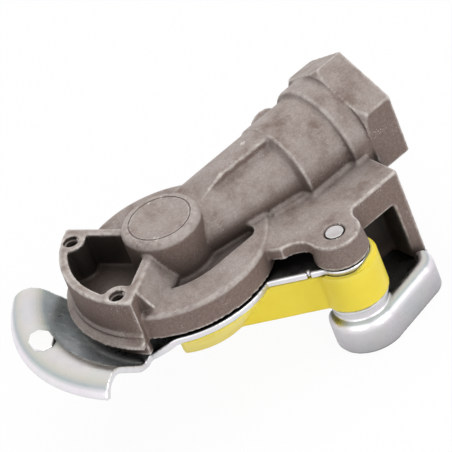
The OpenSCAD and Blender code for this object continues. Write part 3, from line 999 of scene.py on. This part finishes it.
@dataclass
class Casting(Assembly):
    """Cast body with its tapped port, its tapped nose holes and the eye for the pin.

    A sink is the lower end, the upper end and the growth in radius of a conical cutter.
    """

    grain: float = 0.49 * MM
    passes: int = 2
    shade: float = 40.0
    port: Vector = place_mm(65.2, -4.8, 8.6)
    port_core: float = 10.2 * MM
    port_depth: float = 15.0 * MM
    port_pitch: float = 1.5 * MM
    port_sink: Triple = (-1.6 * MM, 0.4 * MM, 2.0 * MM)
    screw_circle: float = 25.9 * MM
    screw_turns: Pair = (129.0, 200.0)
    screw_top: float = 14.6 * MM
    screw_core: float = 2.1 * MM
    screw_depth: float = 9.0 * MM
    screw_pitch: float = 0.8 * MM
    screw_sides: int = 40
    drill_over: float = 1.0 * MM
    thread_ratio: float = 0.54
    thread_overlap: float = 0.05 * MM
    thread_flanks: Triple = (0.38, 0.52, 0.90)
    thread_short: int = 2
    thread_lead: float = 1.6
    thread_shade: float = 30.0
    eye: Vector = place_mm(*HUB, 6.5)
    eye_radius: float = 2.6 * MM
    eye_sink: Triple = (-0.9 * MM, 0.4 * MM, 1.0 * MM)
    eye_sides: int = 56
    boss_top: float = 18.1 * MM
    boss_line: float = 8.45 * MM
    line_section: Section = (
        (-0.45 * MM, 0.30 * MM),
        (0.45 * MM, 0.30 * MM),
        (0.10 * MM, -0.24 * MM),
        (-0.10 * MM, -0.24 * MM),
    )

    def screw_places(self) -> list[Vector]:
        """Places of the tapped nose holes, at the height of their mouths.

        Returns:
            One place for each hole.
        """
        reach, top = self.screw_circle, self.screw_top
        return [
            Vector((reach * math.cos(turn), reach * math.sin(turn), top))
            for turn in map(math.radians, self.screw_turns)
        ]

    def cutters(self) -> list[Piece]:
        """Form the tools that sharpen the machined places of the soft casting.

        Returns:
            The shapes to cut away.
        """
        root = self.port_core + self.thread_ratio * self.port_pitch
        low, high, taper = self.port_sink
        tools = [
            Bench.bar("port_drill", root, -self.port_depth, self.drill_over),
            Bench.bar("port_sink", self.port_core, low, high, taper=taper),
        ]
        for tool in tools:
            Bench.place(tool, self.port, Along.X)
        for place in self.screw_places():
            drill = Bench.bar(
                "nose_drill", self.screw_core, -self.screw_depth, self.drill_over, self.screw_sides
            )
            Bench.place(drill, place)
            tools.append(drill)
        low, high, taper = self.eye_sink
        sink = Bench.bar("eye_sink", self.eye_radius, low, high, self.eye_sides, taper)
        Bench.place(sink, self.eye)
        line = Bench.ring("boss_scribe", self.boss_line, self.line_section)
        Bench.place(line, Vector((0.0, 0.0, self.boss_top)))
        return [*tools, sink, line]

    def thread(self, name: str, core: float, pitch: float, depth: float) -> Piece:
        """Wind the ridge of an inner thread, along -Z from its mouth.

        Args:
            name: Name of the piece.
            core: Radius of the thread's crest.
            pitch: Rise of one turn.
            depth: Length of the thread.

        Returns:
            The ridge.
        """
        root = core + self.thread_ratio * pitch + self.thread_overlap
        crest, fall, foot = (share * pitch for share in self.thread_flanks)
        section = ((root, 0.0), (core, crest), (core, fall), (root, foot))
        turns = int(depth / pitch) - self.thread_short
        ridge = Bench.helix(name, section, pitch, turns)
        Bench.place(ridge, Vector((0.0, 0.0, -(turns + self.thread_lead) * pitch)))
        return ridge

    def build(self) -> None:
        """Build the casting and its threads."""
        casting = Bench.soft_copy(self.nodes["body"], "body_casting", self.grain, self.passes)
        Bench.cut(casting, self.cutters())
        self.fit(casting, Rider.HEAD, Slot.CAST, "body", self.shade)
        port = self.thread("port_thread", self.port_core, self.port_pitch, self.port_depth)
        Bench.place(port, self.port, Along.X)
        ridges = [port]
        crest = self.screw_core - self.thread_ratio * self.screw_pitch
        for name, place in zip(("nose_thread_1", "nose_thread_2"), self.screw_places()):
            ridge = self.thread(name, crest, self.screw_pitch, self.screw_depth)
            Bench.place(ridge, place)
            ridges.append(ridge)
        for ridge in ridges:
            self.fit(ridge, Rider.HEAD, Slot.CAST, shade=self.thread_shade)


@dataclass
class Seal(Assembly):
    """Rubber ring in the face of the palm, with a rounded sealing bead."""

    inner: float = 9.6 * MM
    outer: float = 15.8 * MM
    low: float = -0.9 * MM
    high: float = 2.6 * MM
    foot: float = 0.02 * MM
    bead_fill: float = 0.92
    bead_power: float = 0.6
    bead_steps: int = 10
    shade: float = 40.0

    def build(self) -> None:
        """Build the ring."""
        width = self.outer - self.inner
        bead = []
        for step in range(self.bead_steps + 1):
            turn = math.pi * step / self.bead_steps
            out = width / 2 * (1 + self.bead_fill * math.cos(turn))
            bead.append((out, self.low * math.sin(turn) ** self.bead_power))
        outside = [(width, self.high), (width, self.foot)]
        section = [*outside, *bead, (0.0, self.foot), (0.0, self.high)]
        ring = Bench.ring("seal_bead", self.inner, section)
        self.fit(ring, Rider.HEAD, Slot.RUBBER, "seal_ring", self.shade)


@dataclass
class Cover(Assembly):
    """Swinging cover: pressed plate with its rolled lip, and the moulded cap under it."""

    plate_grain: float = 0.36 * MM
    cap_grain: float = 0.45 * MM
    pad: Vector = place_mm(*PAD, 1.4)
    pad_sides: int = 8
    pad_sizes: Vector = place_mm(7.4, 10.4, 2.2)
    pad_turn: float = 164.0
    pad_taper: Triple = (0.90, 0.94, 1.0)
    pad_edge: float = 0.4 * MM
    hub: Vector = place_mm(*HUB, 0.0)
    rim_radius: float = 7.4 * MM
    rim_steps: int = 88
    rim_start: float = 186.0
    rim_sweep: float = 182.0
    rim_rise: Pair = (64.0, 100.0)
    rim_margin: float = 1.0
    rim_step: float = -2.7 * MM
    rim_section: Section = (
        (0.00 * MM, -4.80 * MM),
        (1.20 * MM, -4.80 * MM),
        (1.39 * MM, -4.00 * MM),
        (1.41 * MM, -3.00 * MM),
        (1.34 * MM, -2.65 * MM),
        (0.82 * MM, -2.25 * MM),
        (0.72 * MM, -1.75 * MM),
        (0.64 * MM, -1.42 * MM),
        (0.48 * MM, -1.30 * MM),
        (0.00 * MM, -1.30 * MM),
    )

    def lip_pad(self) -> Piece:
        """Form the flat pad on the crest of the lip.

        Returns:
            The pad.
        """
        # A bar one metre wide and high, with flats across X and Y, is scaled to size.
        pad = Bench.bar("lip_pad", 0.5, -0.5, 0.5, self.pad_sides)
        pad.rotation_euler = (0.0, 0.0, math.pi / self.pad_sides)
        Bench.settle(pad)
        pad.scale = self.pad_sizes
        pad.rotation_euler = (0.0, 0.0, math.radians(self.pad_turn))
        pad.location = self.pad
        Bench.settle(pad)
        Bench.pick_faces(pad, Side.UP)
        bpy.ops.transform.resize(value=self.pad_taper, center_override=self.pad)
        Bench.modify(pad, "BEVEL", width=self.pad_edge, segments=BEVEL_STEPS)
        return pad

    def cap_rim(self) -> Piece:
        """Form the rim that stands round the plate's eye, and rises from a low step.

        Returns:
            The rim.
        """
        arc = (self.rim_steps, self.rim_start, self.rim_sweep)
        rim = Bench.ring("cap_rim", self.rim_radius, self.rim_section, *arc)
        first, last = self.rim_rise
        for vertex in rim.data.vertices:
            angle = math.degrees(math.atan2(vertex.co.y, vertex.co.x))
            turn = (angle - self.rim_start + self.rim_margin) % 360.0
            share = min(max((turn - first) / (last - first), 0.0), 1.0)
            if vertex.co.z > self.rim_step:
                vertex.co.z = self.rim_step + (vertex.co.z - self.rim_step) * share
        Bench.place(rim, self.hub)
        return rim

    def build(self) -> None:
        """Build the plate with its pad, and the cap with its rim."""
        self.form("cover_plate", "plate_pressing", self.plate_grain, Rider.COVER, Slot.ZINC)
        self.form("cover_cap", "cap_moulding", self.cap_grain, Rider.COVER, Slot.PLASTIC)
        for piece, slot in ((self.lip_pad(), Slot.ZINC), (self.cap_rim(), Slot.PLASTIC)):
            self.fit(piece, Rider.COVER, slot)


@dataclass
class Hinge(Assembly):
    """Riveted pin with its bush, washer and closing spring."""

    centre: Vector = place_mm(*HUB, 0.0)
    pin_radius: float = 2.5 * MM
    pin_sides: int = 64
    pin_head: Section = ((0.0, 1.84), (1.5 * MM, 0.86))
    pin_edge: float = 0.22 * MM
    pin_edge_angle: float = 40.0
    peen_insets: Pair = (0.35 * MM, 0.90 * MM)
    peen_dip: float = 0.12 * MM
    bush_radius: float = 4.0 * MM
    bush_edge: float = 0.25 * MM
    washer_radius: float = 8.2 * MM
    washer_edge: float = 0.3 * MM
    wire_radius: float = 0.6 * MM
    wire_sides: int = 12
    coil_radius: float = 5.5 * MM
    coil_turns: int = 5

    def pin(self) -> Piece:
        """Turn the pin, peened over at its top and headed below.

        Returns:
            The pin.
        """
        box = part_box("pivot_pin")
        pin = Bench.headed_bar("pin_riveted", self.pin_radius, box, self.pin_sides, self.pin_head)
        Bench.pick_faces(pin, Side.UP)
        for inset in self.peen_insets:
            bpy.ops.mesh.inset(thickness=inset)
        bpy.ops.transform.translate(value=(0, 0, -self.peen_dip))
        limit = {"limit_method": "ANGLE", "angle_limit": math.radians(self.pin_edge_angle)}
        Bench.modify(pin, "BEVEL", width=self.pin_edge, segments=BEVEL_STEPS, **limit)
        Bench.tidy_normals(pin)
        return pin

    def sleeve(
        self, name: str, box: Box, radii: Pair, edge: float, inside: bool = False
    ) -> Piece:
        """Turn a sleeve or a washer, with broken edges.

        Args:
            name: Name of the piece.
            box: Lower and upper corner of the solid that it stands for.
            radii: Inner and outer radius.
            edge: Width of the broken edges.
            inside: Whether the edges of the hole are broken too.

        Returns:
            The piece.
        """
        wall, height = radii[1] - radii[0], box[1].z - box[0].z
        outer = ((wall - edge, 0.0), (wall, edge), (wall, height - edge), (wall - edge, height))
        inner: Section = ((0.0, height), (0.0, 0.0))
        if inside:
            inner = ((edge, height), (0.0, height - edge), (0.0, edge), (edge, 0.0))
        piece = Bench.ring(name, radii[0], (*outer, *inner))
        Bench.place(piece, Vector((0.0, 0.0, box[0].z)))
        return piece

    def spring(self) -> Piece:
        """Wind the closing spring.

        Returns:
            The spring.
        """
        low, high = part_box("cover_spring")
        wire = self.wire_radius
        rise = (high.z - low.z - 2 * wire) / self.coil_turns
        turns = [math.tau * step / self.wire_sides for step in range(self.wire_sides)]
        section = [(self.coil_radius + wire * math.cos(a), wire * math.sin(a)) for a in turns]
        coil = Bench.helix("spring_coil", section, rise, self.coil_turns)
        Bench.place(coil, Vector((0.0, 0.0, low.z + wire)))
        return coil

    def build(self) -> None:
        """Build the pin and what sits on it."""
        pin = self.pin()
        radii = (self.bush_radius, self.washer_radius)
        washer = self.sleeve("washer_ring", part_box("pin_washer"), radii, self.washer_edge)
        radii = (self.pin_radius, self.bush_radius)
        bush = self.sleeve("bush_sleeve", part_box("pin_bush"), radii, self.bush_edge, True)
        rows = (
            (pin, Rider.HEAD, Slot.ZINC, "pivot_pin"),
            (washer, Rider.HEAD, Slot.ZINC, "pin_washer"),
            (bush, Rider.HEAD, Slot.STEEL, "pin_bush"),
            (self.spring(), Rider.COVER, Slot.STEEL, "cover_spring"),
        )
        for piece, rider, slot, node in rows:
            Bench.place(piece, self.centre)
            self.fit(piece, rider, slot, node)


@dataclass
class Claw(Assembly):
    """Drawn guide shoe under the arm, and the rivet that holds it."""

    grain: float = 0.32 * MM
    rivet_radius: float = 1.3 * MM
    rivet_sides: int = 48
    rivet_head: Section = (
        (0.00 * MM, 2.00),
        (0.35 * MM, 0.98),
        (0.35 * MM, 0.88),
        (0.30 * MM, 0.70),
        (0.20 * MM, 0.50),
    )
    shade: float = 40.0

    def rivet(self) -> Piece:
        """Form the rivet with its domed head.

        Returns:
            The rivet.
        """
        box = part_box("claw_rivet")
        shape = (self.rivet_radius, box, self.rivet_sides, self.rivet_head)
        rivet = Bench.headed_bar("rivet_domed", *shape)
        Bench.tidy_normals(rivet)
        middle = (box[0] + box[1]) / 2
        Bench.place(rivet, Vector((middle.x, middle.y, 0.0)))
        return rivet

    def build(self) -> None:
        """Build the claw and its rivet."""
        self.form("claw", "claw_pressing", self.grain, Rider.HEAD, Slot.ZINC)
        self.fit(self.rivet(), Rider.HEAD, Slot.ZINC, "claw_rivet", self.shade)


@dataclass(frozen=True)
class Lamp:
    """One soft lamp of the studio."""

    name: str
    place: Triple
    size: float
    power: float
    mirrored: bool

    def hang(self, target: Vector) -> None:
        """Hang the lamp so that it faces a target.

        Args:
            target: Point that the lamp faces.
        """
        Bench.clear()
        bpy.ops.object.light_add(type="AREA", location=self.place)
        lamp = bpy.context.object
        lamp.name = self.name
        lamp.data.size = self.size
        lamp.data.energy = self.power
        lamp.visible_glossy = self.mirrored
        lamp.rotation_euler = (target - Vector(self.place)).to_track_quat("-Z", "Y").to_euler()


@dataclass
class Studio:
    """Pale floor, soft light and the camera."""

    target: Vector = place_mm(12.0, -12.0, 0.0)
    floor_colour: Colour = (0.86, 0.86, 0.86)
    floor_half: float = 4.0
    floor_rough: float = 0.9
    floor_glow: float = 0.95
    sky: float = 0.30
    sky_glow: float = 1.0
    right: Triple = (0.7163, -0.6273, -0.3056)
    up: Triple = (0.5904, 0.3114, 0.7446)
    offset: Pair = (-11.769 * MM, -11.429 * MM)
    distance: float = 1408.755 * MM
    lens: float = 430.30
    sensor: float = 36.0
    clip_end: float = 20.0

    def whiten(self, tree: Tree, lit: Socket, white: Socket, most: float, end: str) -> None:
        """Show plain white to camera, glossy and transmission rays.

        Args:
            tree: Node tree of the floor or the world.
            lit: Shader that the other rays see.
            white: Plain white shader.
            most: Share of white that those rays see.
            end: Name of the tree's last node.
        """
        path = tree.add("LightPath")
        share = path.outputs["Is Camera Ray"]
        for name in ("Is Glossy Ray", "Is Transmission Ray"):
            share = tree.combine("Math", "MAXIMUM", share, path.outputs[name])
        mixer = tree.add("MixShader", Fac=tree.combine("Math", "MULTIPLY", share, most))
        tree.put(mixer.inputs[1], lit)
        tree.put(mixer.inputs[2], white)
        tree.fill(tree.nodes[end], Surface=mixer.outputs["Shader"])

    def floor(self, height: float) -> None:
        """Lay the floor.

        Args:
            height: Height of its surface.
        """
        Bench.clear()
        bpy.ops.mesh.primitive_plane_add(size=2 * self.floor_half, location=(0, 0, height))
        floor = bpy.context.object
        floor.name = "studio_floor"
        material = bpy.data.materials.new("studio_paper")
        tree = Tree(material)
        paper = tree.nodes["Principled BSDF"]
        tree.fill(paper, Base_Color=(*self.floor_colour, 1.0), Roughness=self.floor_rough)
        lit, glow = paper.outputs["BSDF"], tree.add("Emission").outputs["Emission"]
        self.whiten(tree, lit, glow, self.floor_glow, "Material Output")
        floor.data.materials.append(material)

    def world(self) -> None:
        """Set the light of the surroundings."""
        world = bpy.data.worlds.new("studio_tent")
        bpy.context.scene.world = world
        tree = Tree(world)
        light, white = tree.nodes["Background"], tree.add("Background", Color=WHITE)
        tree.fill(light, Color=WHITE, Strength=self.sky)
        lit, plain = light.outputs["Background"], white.outputs["Background"]
        self.whiten(tree, lit, plain, self.sky_glow, "World Output")

    def lamps(self) -> None:
        """Hang the lamps."""
        rows = (
            Lamp("lamp_top", (0.30, 0.40, 1.00), size=1.3, power=11.5, mirrored=False),
            Lamp("lamp_left", (-0.85, -0.45, 0.50), size=0.9, power=2.4, mirrored=True),
            Lamp("lamp_front", (0.30, -1.05, 0.45), size=0.9, power=5.6, mirrored=True),
        )
        for lamp in rows:
            lamp.hang(self.target)

    def camera(self) -> None:
        """Place the camera at the angle of the photograph."""
        right = Vector(self.right)
        toward = right.cross(Vector(self.up)).normalized()
        up = toward.cross(right).normalized()
        right = up.cross(toward)
        place = toward * self.distance - right * self.offset[0] - up * self.offset[1]
        data = bpy.data.cameras.new("studio_camera")
        data.sensor_width = self.sensor
        data.lens = self.lens
        data.clip_end = self.clip_end
        camera = bpy.data.objects.new("studio_camera", data)
        bpy.context.scene.collection.objects.link(camera)
        turn = Matrix((right, up, toward)).transposed().to_4x4()
        camera.matrix_world = Matrix.Translation(place) @ turn
        bpy.context.scene.camera = camera

    def build(self, lowest: float) -> None:
        """Set up the studio.

        Args:
            lowest: Lowest point of the part.
        """
        bpy.context.scene.view_settings.view_transform = "Standard"
        self.floor(lowest)
        self.world()
        self.lamps()
        self.camera()


def main() -> None:
    """Build the studio and every sub-assembly."""
    logging.basicConfig(level=logging.INFO, format="%(name)s: %(message)s")
    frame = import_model()
    nodes = frame["nodes"]
    lowest = min(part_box(name)[0].z for name in nodes)
    Studio().build(lowest)
    skins = (CastSkin(), ZincSkin(), STEEL, PlasticSkin(), RUBBER)
    finishes = {skin.slot: skin.material() for skin in skins}
    for kind in (Casting, Seal, Cover, Hinge, Claw):
        kind(nodes, finishes).build()


if __name__ == "__main__":
    main()
